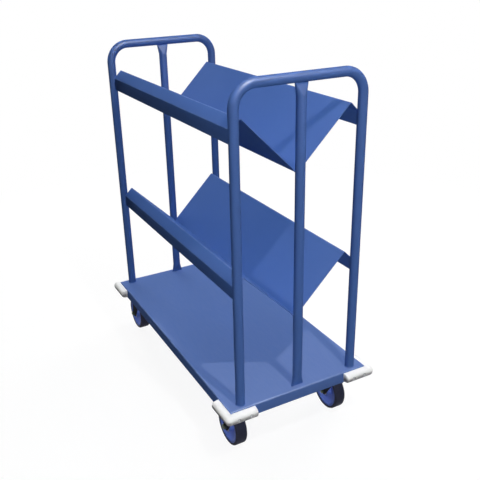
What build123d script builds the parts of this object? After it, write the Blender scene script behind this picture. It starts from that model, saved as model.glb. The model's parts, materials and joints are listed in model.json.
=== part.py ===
# Library cart: two V-shaped book shelves over a flat deck, in a welded tubular frame on four swivel casters.
# Millimetres. +X runs along the cart to its front end, +Y to its left side and +Z up.
# The origin is on the floor under the middle of the deck.
from build123d import *

import os
from math import cos, radians, sin, tan

# Wheel
WHEEL_DIAMETER = 125.0
TREAD_WIDTH = 36.0
TREAD_THICKNESS = 8.0
TREAD_SHOULDER = 5.0
RIM_SETBACK = 1.5
RIM_WALL = 6.0
DISH_SAG = 2.5
WEB_THICKNESS = 11.0
HUB_DIAMETER = 40.0
HUB_BORE = 24.0
BEARING_DIAMETER = 30.0
BEARING_WIDTH = 11.0

# Axle through the fork
SLEEVE_DIAMETER = 15.0
AXLE_DIAMETER = 10.0
AXLE_HEX = 16.0
AXLE_HEAD_HEIGHT = 6.4
AXLE_NUT_HEIGHT = 8.0
AXLE_THREAD_END = 2.0

# Caster fork and swivel
CASTER_TRAIL = 30.0
FORK_SIDE_GAP = 3.0
FORK_TOP_GAP = 8.0
FORK_SHEET = 3.0
FORK_BEND = 8.0
FORK_FOOT_RADIUS = 14.0
FORK_FRONT = 27.0
FORK_REAR = 38.0
FORK_SHOULDER = 12.0
CROWN_THICKNESS = 4.0
CROWN_DIAMETER = 74.0
RACE_HEIGHT = 14.0
RACE_BOSS_HEIGHT = 5.0
RACE_BOSS_DIAMETER = 46.0
DUST_RIM_WALL = 4.0
BALL_PITCH_DIAMETER = 34.0
RACE_SIDES = 8
KING_PIN_DIAMETER = 12.0
KING_PIN_HEAD_DIAMETER = 22.0
KING_PIN_HEAD_HEIGHT = 5.0

# Caster top plate and its bolts
PLATE_LENGTH = 105.0
PLATE_WIDTH = 85.0
PLATE_THICKNESS = 4.0
PLATE_CORNER = 10.0
BOLT_SPACING_X = 80.0
BOLT_SPACING_Y = 60.0
BOLT_DIAMETER = 8.0
BOLT_HEX = 13.0
BOLT_HEAD_HEIGHT = 5.3
BOLT_NUT_HEIGHT = 6.5
BOLT_THREAD_END = 2.0

# Deck tray and the cross members under it
DECK_LENGTH = 930.0
DECK_WIDTH = 464.0
SKIRT_DEPTH = 36.0
DECK_SHEET = 2.0
DECK_FOLD = 4.0
CHANNEL_WIDTH = 110.0
CHANNEL_SHEET = 3.0
CHANNEL_BEND = 6.0
CASTER_INSET_X = 71.0
CASTER_INSET_Y = 55.0

# Tubular end frames and centre posts
TUBE_DIAMETER = 27.0
TUBE_WALL = 2.0
FRAME_INSET_X = 21.0
FRAME_INSET_Y = 42.0
BAR_ABOVE_DECK = 895.0
BEND_RADIUS = 60.0
SPADE_WIDTH = 40.0
SPADE_THICKNESS = 5.0
SPADE_LENGTH = 30.0
SPADE_TIP_ANGLE = 16.0

# Folded book shelves
SHELF_SHEET = 2.0
SHELF_FOLD = 4.0
PANEL_ANGLE = 45.0
LIP_WIDTH = 37.5
FLANGE_HEIGHT = 38.0
TOP_VEE_ABOVE_DECK = 648.5
LOWER_VEE_ABOVE_DECK = 223.5

# Corner bumpers and their screws
BUMPER_DEPTH = 22.5
BUMPER_HEIGHT = 27.0
BUMPER_LEG = 100.0
BUMPER_NOSE = 12.0
BUMPER_CORNER = 14.0
BUMPER_END = 4.0
SCREW_FROM_CORNER = 37.5
SCREW_SPACING = 39.0
SCREW_DIAMETER = 4.2
SCREW_CORE_DIAMETER = 3.5
SCREW_CORE_LENGTH = 5.0
SCREW_POINT_LENGTH = 5.0
SCREW_HEAD_DIAMETER = 10.5
SCREW_HEAD_HEIGHT = 4.0
SCREW_HEAD_CHAMFER = 2.0
SCREW_POCKET_DEPTH = 6.0
SCREW_POCKET_GAP = 1.0

# Clearances
RUNNING_GAP = 0.05
SEAT_GAP = 0.3
SIDE_GAP = 0.5
BOLT_GAP = 0.5

# Levels, from the floor up
WHEEL_RADIUS = WHEEL_DIAMETER / 2
CROWN_BOTTOM = WHEEL_DIAMETER + FORK_TOP_GAP
CROWN_TOP = CROWN_BOTTOM + CROWN_THICKNESS
PLATE_BOTTOM = CROWN_TOP + RACE_HEIGHT
PLATE_TOP = PLATE_BOTTOM + PLATE_THICKNESS
DECK_TOP = PLATE_TOP + SKIRT_DEPTH
DECK_UNDERSIDE = DECK_TOP - DECK_SHEET
BAR_AXIS = DECK_TOP + BAR_ABOVE_DECK
SKIRT_MIDDLE = DECK_TOP - SKIRT_DEPTH / 2

# Places across the cart
FORK_WIDTH = TREAD_WIDTH + 2 * FORK_SIDE_GAP
TUBE_RADIUS = TUBE_DIAMETER / 2
FRAME_X = DECK_LENGTH / 2 - FRAME_INSET_X
FRAME_Y = DECK_WIDTH / 2 - FRAME_INSET_Y
CASTER_X = DECK_LENGTH / 2 - CASTER_INSET_X
CASTER_Y = DECK_WIDTH / 2 - CASTER_INSET_Y
SHELF_LENGTH = 2 * (FRAME_X - TUBE_RADIUS - SEAT_GAP)

ENDS = {"front": 1, "rear": -1}
SIDES = {"left": 1, "right": -1}


def hexagon_prism(across_flats, height):
    """Hexagonal prism standing on the XY plane."""
    return extrude(RegularPolygon(across_flats / 2, 6, major_radius=False), height)


def folded_channel(width, height, sheet, bend):
    """Closed outline of an upright U with rounded bends, its web along the X axis."""
    outer = Pos(0, height / 2) * Rectangle(width, height)
    outer = fillet(outer.vertices().group_by(Axis.Y)[0], bend)
    inner = Pos(0, height / 2 + sheet) * Rectangle(width - 2 * sheet, height)
    inner = fillet(inner.vertices().group_by(Axis.Y)[0], bend - sheet)
    return outer - inner


# Deck


def screw_places(end, side):
    """Points where the screws of one corner's bumper cross the outside of the end skirt."""
    corner_y = side * (DECK_WIDTH / 2 + BUMPER_DEPTH)
    for step in range(2):
        y = corner_y - side * (SCREW_FROM_CORNER + step * SCREW_SPACING)
        yield Vector(end * DECK_LENGTH / 2, y, SKIRT_MIDDLE)


def tray_hollow():
    """Space under the deck sheet, between the skirts and rounded along their folds."""
    hollow = Pos(0, 0, DECK_UNDERSIDE - SKIRT_DEPTH / 2) * Box(
        DECK_LENGTH - 2 * DECK_SHEET, DECK_WIDTH - 2 * DECK_SHEET, SKIRT_DEPTH
    )
    return fillet(hollow.faces().sort_by(Axis.Z)[-1].edges(), DECK_FOLD - DECK_SHEET)


def deck_tray():
    """Sheet folded down along all four edges, with holes for the bumper screws."""
    block = Pos(0, 0, SKIRT_MIDDLE) * Box(DECK_LENGTH, DECK_WIDTH, SKIRT_DEPTH)
    block = fillet(block.faces().sort_by(Axis.Z)[-1].edges(), DECK_FOLD)
    tray = block - tray_hollow()
    hole = Rot(0, 90, 0) * Cylinder(SCREW_CORE_DIAMETER / 2 + RUNNING_GAP, 4 * DECK_SHEET)
    for end in ENDS.values():
        for side in SIDES.values():
            for place in screw_places(end, side):
                tray -= Pos(place) * hole
    return tray


def bolt_places():
    """Points of one caster's bolt pattern, about its king pin."""
    for x in (-BOLT_SPACING_X / 2, BOLT_SPACING_X / 2):
        for y in (-BOLT_SPACING_Y / 2, BOLT_SPACING_Y / 2):
            yield Vector(x, y, 0)


def cross_member(end):
    """Channel between the side skirts, flush with their lower edge, that carries two casters."""
    outline = folded_channel(CHANNEL_WIDTH, SKIRT_DEPTH - DECK_SHEET, CHANNEL_SHEET, CHANNEL_BEND)
    channel = Pos(end * CASTER_X, DECK_WIDTH / 2, PLATE_TOP) * extrude(Plane.XZ * outline, DECK_WIDTH)
    channel &= tray_hollow()
    for side in SIDES.values():
        for place in bolt_places():
            hole = Cylinder(BOLT_DIAMETER / 2 + BOLT_GAP, 4 * CHANNEL_SHEET)
            channel -= Pos(end * CASTER_X, side * CASTER_Y, PLATE_TOP) * Pos(place) * hole
    return channel


# Frame


def end_frame(end):
    """Tube bent into an upside-down U, its feet on the deck and its top bar the push handle."""
    x = end * FRAME_X
    path = FilletPolyline(
        (x, -FRAME_Y, DECK_TOP),
        (x, -FRAME_Y, BAR_AXIS),
        (x, FRAME_Y, BAR_AXIS),
        (x, FRAME_Y, DECK_TOP),
        radius=BEND_RADIUS,
    )
    foot = Plane(origin=path @ 0, z_dir=path % 0)
    outside = sweep(foot * Circle(TUBE_RADIUS), path=path)
    bore = sweep(foot * Circle(TUBE_RADIUS - TUBE_WALL), path=path)
    return outside - bore


def crushed_section():
    """Flat end of a post, as four lines that match the four arcs of the round section."""
    w, t = SPADE_WIDTH / 2, SPADE_THICKNESS / 2
    corners = [(t, -w), (t, w), (-t, w), (-t, -w)]
    return make_face(Polyline(*corners, close=True))


def round_section():
    """Round end of a crushed stretch: two short arcs under the flats and two long ones at the sides."""
    half = SPADE_TIP_ANGLE / 2
    starts = [-half, half, 180 - half, 180 + half]
    spans = [2 * half, 180 - 2 * half, 2 * half, 180 - 2 * half]
    return make_face([CenterArc((0, 0), TUBE_RADIUS, a, s) for a, s in zip(starts, spans)])


def centre_post(end):
    """Tube with both ends crushed flat across the cart, welded between the deck and the top bar."""
    length = BAR_AXIS - TUBE_RADIUS - SEAT_GAP - DECK_TOP
    round_top = length - SPADE_LENGTH
    foot = loft([crushed_section(), Pos(0, 0, SPADE_LENGTH) * round_section()], ruled=True)
    head = loft([Pos(0, 0, round_top) * round_section(), Pos(0, 0, length) * crushed_section()], ruled=True)
    shaft = Pos(0, 0, SPADE_LENGTH) * extrude(Circle(TUBE_RADIUS), round_top - SPADE_LENGTH)
    post = foot + shaft + head
    bore_length = round_top - SPADE_LENGTH - 2 * TUBE_WALL
    post -= Pos(0, 0, SPADE_LENGTH + TUBE_WALL) * extrude(Circle(TUBE_RADIUS - TUBE_WALL), bore_length)
    return Pos(end * FRAME_X, 0, DECK_TOP) * post


def vee_shelf(vee_above_deck):
    """Sheet folded to a V along its middle, each side turned over into a lip and an upright flange.

    The lip is square to its panel, and the flange lies in the plane of the uprights.
    """
    angle = radians(PANEL_ANGLE)
    vee_z = DECK_TOP + vee_above_deck
    ridge_y = FRAME_Y - LIP_WIDTH * sin(angle)
    ridge_z = vee_z + ridge_y * tan(angle)
    lip_z = ridge_z - LIP_WIDTH * cos(angle)
    upper_face = FilletPolyline(
        (-FRAME_Y, lip_z - FLANGE_HEIGHT),
        (-FRAME_Y, lip_z),
        (-ridge_y, ridge_z),
        (0, vee_z),
        (ridge_y, ridge_z),
        (FRAME_Y, lip_z),
        (FRAME_Y, lip_z - FLANGE_HEIGHT),
        radius=SHELF_FOLD,
    )
    sheet = make_face(offset(upper_face, amount=SHELF_SHEET, side=Side.RIGHT, closed=True))
    return Pos(-SHELF_LENGTH / 2, 0, 0) * extrude(Plane.YZ * sheet, SHELF_LENGTH)


# Corner bumpers


def corner_bumper():
    """Moulded L with a rounded nose that wraps the front left corner of the deck."""
    outer_x = DECK_LENGTH / 2 + BUMPER_DEPTH
    outer_y = DECK_WIDTH / 2 + BUMPER_DEPTH
    inner_x, inner_y = DECK_LENGTH / 2, DECK_WIDTH / 2
    outline = Polyline(
        (inner_x, inner_y),
        (inner_x, outer_y - BUMPER_LEG),
        (outer_x, outer_y - BUMPER_LEG),
        (outer_x, outer_y),
        (outer_x - BUMPER_LEG, outer_y),
        (outer_x - BUMPER_LEG, inner_y),
        close=True,
    )
    bumper = Pos(0, 0, SKIRT_MIDDLE - BUMPER_HEIGHT / 2) * extrude(make_face(outline), BUMPER_HEIGHT)
    corner = bumper.edges().filter_by(Axis.Z).sort_by(SortBy.DISTANCE)[-1]
    bumper = fillet(corner, BUMPER_CORNER)
    level = bumper.edges().filter_by(Axis.Z, reverse=True)
    nose = level.filter_by(lambda e: on_nose(e, outer_x, outer_y))
    bumper = fillet(nose, BUMPER_NOSE)
    end_x = bumper.faces().filter_by(Axis.X).sort_by(Axis.X)[0]
    end_y = bumper.faces().filter_by(Axis.Y).sort_by(Axis.Y)[0]
    rim = [e for e in end_x.edges() if e.center().Y > inner_y + BUMPER_END]
    rim += [e for e in end_y.edges() if e.center().X > inner_x + BUMPER_END]
    bumper = fillet(rim, BUMPER_END)
    pocket_radius = SCREW_HEAD_DIAMETER / 2 + SCREW_POCKET_GAP
    for place in screw_places(1, 1):
        shank_hole = Cylinder(SCREW_DIAMETER / 2 + BOLT_GAP, 4 * BUMPER_DEPTH)
        pocket = Pos(0, 0, BUMPER_DEPTH) * Cylinder(pocket_radius, 2 * SCREW_POCKET_DEPTH)
        bumper -= Pos(place) * Rot(0, 90, 0) * (shank_hole + pocket)
    return bumper


def on_nose(edge, outer_x, outer_y):
    """True for the level edges that run round the outside of a bumper."""
    middle = edge.position_at(0.5)
    along_x = abs(middle.Y - outer_y) < BUMPER_CORNER
    along_y = abs(middle.X - outer_x) < BUMPER_CORNER
    at_leg_end = abs(abs(edge.tangent_at(0.5).X) - 1) < 1e-6 and not along_x
    at_leg_end = at_leg_end or (abs(abs(edge.tangent_at(0.5).Y) - 1) < 1e-6 and not along_y)
    return (along_x or along_y) and not at_leg_end


def bumper_screw():
    """Tapping screw along +Z from the skirt's face: head in a bumper's pocket, core in the skirt."""
    core, shank, head = SCREW_CORE_DIAMETER / 2, SCREW_DIAMETER / 2, SCREW_HEAD_DIAMETER / 2
    seat = BUMPER_DEPTH - SCREW_POCKET_DEPTH
    top = seat + SCREW_HEAD_HEIGHT
    outline = Polyline(
        (0, -SCREW_CORE_LENGTH - SCREW_POINT_LENGTH),
        (core, -SCREW_CORE_LENGTH),
        (core, 0),
        (shank, 0),
        (shank, seat),
        (head, seat),
        (head, top - SCREW_HEAD_CHAMFER),
        (head - SCREW_HEAD_CHAMFER, top),
        (0, top),
        close=True,
    )
    return revolve(Plane.XZ * make_face(outline), axis=Axis.Z)


# Casters, built about their own king pin


def axle_place():
    """Centre of the wheel, behind the king pin by the trail."""
    return Pos(-CASTER_TRAIL, 0, WHEEL_RADIUS)


def caster_plate():
    """Top plate with bolt holes and the pressed upper ball race under it."""
    blank = fillet(Rectangle(PLATE_LENGTH, PLATE_WIDTH).vertices(), PLATE_CORNER)
    plate = Pos(0, 0, PLATE_BOTTOM) * extrude(blank, PLATE_THICKNESS)
    boss_bottom = PLATE_BOTTOM - RACE_BOSS_HEIGHT
    plate += Pos(0, 0, boss_bottom) * extrude(Circle(RACE_BOSS_DIAMETER / 2), RACE_BOSS_HEIGHT)
    for place in bolt_places():
        plate -= Pos(0, 0, PLATE_BOTTOM) * Pos(place) * Cylinder(
            BOLT_DIAMETER / 2 + BOLT_GAP, 4 * PLATE_THICKNESS
        )
    plate -= Pos(0, 0, PLATE_BOTTOM) * Cylinder(KING_PIN_DIAMETER / 2 + RUNNING_GAP, 4 * RACE_HEIGHT)
    return plate


def king_pin():
    """Rivet through the plate, its head under the fork's crown."""
    head_top = CROWN_BOTTOM - SEAT_GAP
    head = Pos(0, 0, head_top - KING_PIN_HEAD_HEIGHT) * extrude(
        Circle(KING_PIN_HEAD_DIAMETER / 2), KING_PIN_HEAD_HEIGHT
    )
    head = chamfer(head.edges().sort_by(Axis.Z)[0], KING_PIN_HEAD_HEIGHT / 3)
    shaft = Pos(0, 0, head_top) * extrude(Circle(KING_PIN_DIAMETER / 2), PLATE_TOP - head_top)
    return head + shaft


def ball_ring():
    """Ring of the swivel's ball race, between the crown and the plate's boss."""
    space = RACE_HEIGHT - RACE_BOSS_HEIGHT
    section = RegularPolygon(space / 2 - SEAT_GAP, RACE_SIDES, major_radius=False, rotation=180 / RACE_SIDES)
    ring = revolve(Plane.XZ * (Pos(BALL_PITCH_DIAMETER / 2, 0) * section), axis=Axis.Z)
    return Pos(0, 0, CROWN_TOP + space / 2) * ring


def fork():
    """Pressed fork: a folded U cut to a raked side outline, under a round crown with a dust rim."""
    wide = FORK_WIDTH + 2 * FORK_SHEET
    outline = folded_channel(wide, CROWN_TOP, FORK_SHEET, FORK_BEND)
    u_shape = Pos(-CASTER_X, 0, CROWN_TOP) * extrude(Plane.YZ * (Rot(0, 0, 180) * outline), 2 * CASTER_X)
    foot = Pos(-CASTER_TRAIL, WHEEL_RADIUS) * Circle(FORK_FOOT_RADIUS)
    shoulder = Pos((FORK_FRONT - FORK_REAR) / 2, CROWN_TOP - FORK_SHOULDER / 2) * Rectangle(
        FORK_FRONT + FORK_REAR, FORK_SHOULDER
    )
    rake = make_hull(foot.edges() + shoulder.edges())
    legs = u_shape & (Pos(0, wide, 0) * extrude(Plane.XZ * rake, 2 * wide))
    crown = Pos(0, 0, CROWN_BOTTOM) * extrude(Circle(CROWN_DIAMETER / 2), CROWN_THICKNESS)
    rim_inner = RACE_BOSS_DIAMETER / 2 + SIDE_GAP
    rim = Circle(rim_inner + DUST_RIM_WALL) - Circle(rim_inner)
    dust_rim = Pos(0, 0, CROWN_TOP) * extrude(rim, RACE_HEIGHT - SIDE_GAP)
    body = legs + crown + dust_rim
    body -= Pos(0, 0, CROWN_TOP) * Cylinder(KING_PIN_DIAMETER / 2 + RUNNING_GAP, 4 * CROWN_THICKNESS)
    axle_hole = Rot(90, 0, 0) * Cylinder(AXLE_DIAMETER / 2 + RUNNING_GAP, 2 * wide)
    return body - axle_place() * axle_hole


def axle_bolt():
    """Hexagon bolt across the fork, its head on the left leg."""
    half = FORK_WIDTH / 2 + FORK_SHEET
    length = 2 * half + AXLE_NUT_HEIGHT + AXLE_THREAD_END
    shank = Pos(0, 0, half - length) * extrude(Circle(AXLE_DIAMETER / 2), length)
    head = Pos(0, 0, half) * hexagon_prism(AXLE_HEX, AXLE_HEAD_HEIGHT)
    return axle_place() * Rot(-90, 0, 0) * (shank + head)


def axle_nut():
    """Hexagon nut on the right leg of the fork."""
    nut = hexagon_prism(AXLE_HEX, AXLE_NUT_HEIGHT)
    nut -= Cylinder(AXLE_DIAMETER / 2 + RUNNING_GAP, 4 * AXLE_NUT_HEIGHT)
    seat = -(FORK_WIDTH / 2 + FORK_SHEET) - AXLE_NUT_HEIGHT
    return axle_place() * Rot(-90, 0, 0) * Pos(0, 0, seat) * nut


def axle_sleeve():
    """Spacer tube clamped between the fork's legs, on which the bearings run."""
    ring = Circle(SLEEVE_DIAMETER / 2) - Circle(AXLE_DIAMETER / 2 + RUNNING_GAP)
    return axle_place() * Rot(-90, 0, 0) * extrude(ring, FORK_WIDTH / 2, both=True)


def wheel_rim():
    """Moulded wheel centre, dished on both sides between its hub and its rim."""
    hub_half = FORK_WIDTH / 2 - SIDE_GAP
    hub_radius = HUB_DIAMETER / 2
    bearing_radius = BEARING_DIAMETER / 2
    rim_outer = WHEEL_RADIUS - TREAD_THICKNESS
    rim_inner = rim_outer - RIM_WALL
    rim_half = TREAD_WIDTH / 2 - RIM_SETBACK
    web_half = WEB_THICKNESS / 2
    shoulder = hub_half - BEARING_WIDTH
    dish_middle = ((hub_radius + rim_inner) / 2, (web_half + rim_half) / 2 - DISH_SAG)
    hub = Polyline(
        (rim_outer, 0),
        (HUB_BORE / 2, 0),
        (HUB_BORE / 2, shoulder),
        (bearing_radius, shoulder),
        (bearing_radius, hub_half),
        (hub_radius, hub_half),
        (hub_radius, web_half),
    )
    dish = ThreePointArc((hub_radius, web_half), dish_middle, (rim_inner, rim_half))
    rim = Polyline((rim_inner, rim_half), (rim_outer, rim_half), (rim_outer, 0))
    half = make_face([*hub.edges(), dish, *rim.edges()])
    return axle_place() * revolve(half + mirror(half, about=Plane.XZ), axis=Axis.Y)


def wheel_tread():
    """Rubber band with rounded shoulders, bonded on the rim."""
    section = Pos(WHEEL_RADIUS - TREAD_THICKNESS / 2, 0) * Rectangle(TREAD_THICKNESS, TREAD_WIDTH)
    section = fillet(section.vertices().group_by(Axis.X)[-1], TREAD_SHOULDER)
    return axle_place() * revolve(section, axis=Axis.Y)


def wheel_bearings():
    """Two sealed bearings, one in each end of the hub."""
    ring = Circle(BEARING_DIAMETER / 2) - Circle(SLEEVE_DIAMETER / 2 + RUNNING_GAP)
    bearing = Pos(0, 0, FORK_WIDTH / 2 - SIDE_GAP - BEARING_WIDTH) * extrude(ring, BEARING_WIDTH)
    left = axle_place() * Rot(-90, 0, 0) * bearing
    return Compound([left, mirror(left, about=Plane.XZ)])


def caster_bolt():
    """Hexagon bolt up through the caster's plate and the cross member."""
    length = PLATE_THICKNESS + CHANNEL_SHEET + BOLT_NUT_HEIGHT + BOLT_THREAD_END
    head = Pos(0, 0, PLATE_BOTTOM - BOLT_HEAD_HEIGHT) * hexagon_prism(BOLT_HEX, BOLT_HEAD_HEIGHT)
    return head + Pos(0, 0, PLATE_BOTTOM) * extrude(Circle(BOLT_DIAMETER / 2), length)


def caster_nut():
    """Hexagon nut inside the cross member."""
    nut = hexagon_prism(BOLT_HEX, BOLT_NUT_HEIGHT)
    nut -= Cylinder(BOLT_DIAMETER / 2 + RUNNING_GAP, 4 * BOLT_NUT_HEIGHT)
    return Pos(0, 0, PLATE_TOP + CHANNEL_SHEET) * nut


# Assembly


def corner_screws(end, side, screw):
    """Copies of a bumper's screw at one corner, pointing out of the end skirt."""
    turn = Rot(0, 90 * end, 0)
    return [Pos(place) * turn * screw for place in screw_places(end, side)]


def mirrored_to(corner_part, end, side):
    """Front left corner part carried over to another corner."""
    moved = corner_part if end > 0 else mirror(corner_part, about=Plane.YZ)
    return moved if side > 0 else mirror(moved, about=Plane.XZ)


def build_nodes():
    """Every piece of the cart by its node's name."""
    nodes = {
        "deck_tray": deck_tray(),
        "top_shelf": vee_shelf(TOP_VEE_ABOVE_DECK),
        "lower_shelf": vee_shelf(LOWER_VEE_ABOVE_DECK),
    }
    for end_name, end in ENDS.items():
        nodes[f"cross_member_{end_name}"] = cross_member(end)
        nodes[f"end_frame_{end_name}"] = end_frame(end)
        nodes[f"centre_post_{end_name}"] = centre_post(end)
    bumper, screw = corner_bumper(), bumper_screw()
    caster = {
        "caster_plate": caster_plate(),
        "king_pin": king_pin(),
        "ball_ring": ball_ring(),
        "fork": fork(),
        "axle_bolt": axle_bolt(),
        "axle_nut": axle_nut(),
        "axle_sleeve": axle_sleeve(),
        "wheel_rim": wheel_rim(),
        "wheel_tread": wheel_tread(),
        "wheel_bearings": wheel_bearings(),
    }
    bolt, bolt_nut = caster_bolt(), caster_nut()
    screws, bolts, bolt_nuts = [], [], []
    for end_name, end in ENDS.items():
        for side_name, side in SIDES.items():
            corner = f"{end_name}_{side_name}"
            nodes[f"bumper_{corner}"] = mirrored_to(bumper, end, side)
            screws += corner_screws(end, side, screw)
            place = Pos(end * CASTER_X, side * CASTER_Y, 0)
            bolts += [place * Pos(hole) * bolt for hole in bolt_places()]
            bolt_nuts += [place * Pos(hole) * bolt_nut for hole in bolt_places()]
            for name, piece in caster.items():
                nodes[f"{name}_{corner}"] = place * piece
    nodes["bumper_screws"] = Compound(screws)
    nodes["caster_bolts"] = Compound(bolts)
    nodes["caster_nuts"] = Compound(bolt_nuts)
    return nodes


def main():
    """Writes one STEP file for each node."""
    os.makedirs("parts", exist_ok=True)
    for name, piece in build_nodes().items():
        export_step(piece, os.path.join("parts", f"{name}.step"))


if __name__ == "__main__":
    main()
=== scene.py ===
"""Looks of a library cart: two V-shaped book shelves over a flat deck, in bent tube end frames on casters.

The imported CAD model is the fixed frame. Its plain solids are replaced here by finer meshes of the same size
and place, and every surface gets a procedural finish. Lengths are metres in the cart's own frame: +X runs to
the front end, +Y to the left side and +Z up from the floor. Angles in fields and arguments are degrees.
"""
import json
import logging
from dataclasses import dataclass
from enum import Enum
from math import acos, atan2, cos, degrees, hypot, pi, radians, sin, tan
from typing import Callable, Iterable, Mapping, Sequence

import bmesh
import bpy
from mathutils import Matrix, Vector


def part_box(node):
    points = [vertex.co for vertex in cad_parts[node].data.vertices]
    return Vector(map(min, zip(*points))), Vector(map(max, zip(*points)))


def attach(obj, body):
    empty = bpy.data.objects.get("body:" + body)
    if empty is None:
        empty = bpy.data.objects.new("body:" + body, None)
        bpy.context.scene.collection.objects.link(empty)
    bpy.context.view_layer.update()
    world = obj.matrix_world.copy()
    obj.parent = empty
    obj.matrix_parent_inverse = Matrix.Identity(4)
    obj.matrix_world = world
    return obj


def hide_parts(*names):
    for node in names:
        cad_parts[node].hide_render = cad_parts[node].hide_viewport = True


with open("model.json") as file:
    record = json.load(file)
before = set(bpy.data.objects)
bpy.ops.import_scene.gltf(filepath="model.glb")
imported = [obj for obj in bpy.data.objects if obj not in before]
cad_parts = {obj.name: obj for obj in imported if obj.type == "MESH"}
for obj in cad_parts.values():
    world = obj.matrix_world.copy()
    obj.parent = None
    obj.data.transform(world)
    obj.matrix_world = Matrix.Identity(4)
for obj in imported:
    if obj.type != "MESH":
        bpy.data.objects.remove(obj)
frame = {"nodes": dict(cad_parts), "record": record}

LOG = logging.getLogger("library_cart")
CART = "cart"
MM = 0.001
ROOT_TWO = 2 ** 0.5
# Lengths that differ by less than this count as the same.
NEAR = 0.01 * MM
# A normal with at least this part along an axis is square to the others.
SQUARE = 0.999
# Attribute of the faces at rubbed edges, and the turn per metre of a bend tight enough to be one.
EDGE_MARK = "edge"
TIGHT_BEND = 1 / (5 * MM)

Point = Sequence[float]
Colour = tuple[float, float, float, float]
Test = Callable[[Vector], bool]


class Sign(Enum):
    """Choice between the two ways along an axis of the cart."""

    @property
    def word(self) -> str:
        """Word for this way in the names of nodes."""
        return self.name.lower()


class End(Sign):
    """End of the cart, with its sign along X."""

    FRONT = 1
    REAR = -1


class Side(Sign):
    """Long side of the cart, with its sign along Y."""

    LEFT = 1
    RIGHT = -1


class Element(Enum):
    """Kind of mesh element that a selection picks."""

    EDGE = "EDGE"
    FACE = "FACE"


class Meeting(Enum):
    """Way in which one piece is combined with another."""

    UNION = "UNION"
    CUT = "DIFFERENCE"
    COMMON = "INTERSECT"


class Slot(Enum):
    """Material slots of the cart's record."""

    BLUE_PAINT = "blue_paint"
    WHITE_RUBBER = "white_rubber"
    DARK_PAINT = "dark_paint"
    ZINC = "zinc"
    DARK_STEEL = "dark_steel"
    WHEEL_BLUE = "wheel_blue"
    TREAD_BLACK = "tread_black"
    BEARING_STEEL = "bearing_steel"


CORNERS = [(end, side) for end in End for side in Side]


def corner_word(end: End, side: Side) -> str:
    """Words for a corner in the names of nodes and bodies."""
    return f"{end.word}_{side.word}"


def near(value: float, target: float) -> bool:
    """Whether two lengths count as the same."""
    return abs(value - target) < NEAR


def on(**planes: float) -> Test:
    """Test of whether a place lies on planes, each given by its axis and its level."""
    return lambda place: all(near(getattr(place, axis), level) for axis, level in planes.items())


def linear(*screen: int) -> Colour:
    """Linear colour for shaders, by the sRGB curve, from red, green and blue on a screen, 0 to 255."""
    shares = [part / 255 for part in screen]
    return (*[s / 12.92 if s <= 0.04045 else ((s + 0.055) / 1.055) ** 2.4 for s in shares], 1.0)


def grey(value: float) -> Colour:
    """Neutral linear colour for shaders."""
    return (value, value, value, 1.0)


def arc(centre: Point, radius: float, start: float, stop: float, steps: int) -> list[tuple[float, float]]:
    """Points along an arc in a plane from one angle to another, both ends included."""
    angles = [radians(start + (stop - start) * i / steps) for i in range(steps + 1)]
    return [(centre[0] + radius * cos(a), centre[1] + radius * sin(a)) for a in angles]


def drop_everything() -> None:
    """Leaves edit mode and deselects every object."""
    if bpy.context.object is not None and bpy.context.object.mode != "OBJECT":
        bpy.ops.object.mode_set(mode="OBJECT")
    bpy.ops.object.select_all(action="DESELECT")


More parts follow.
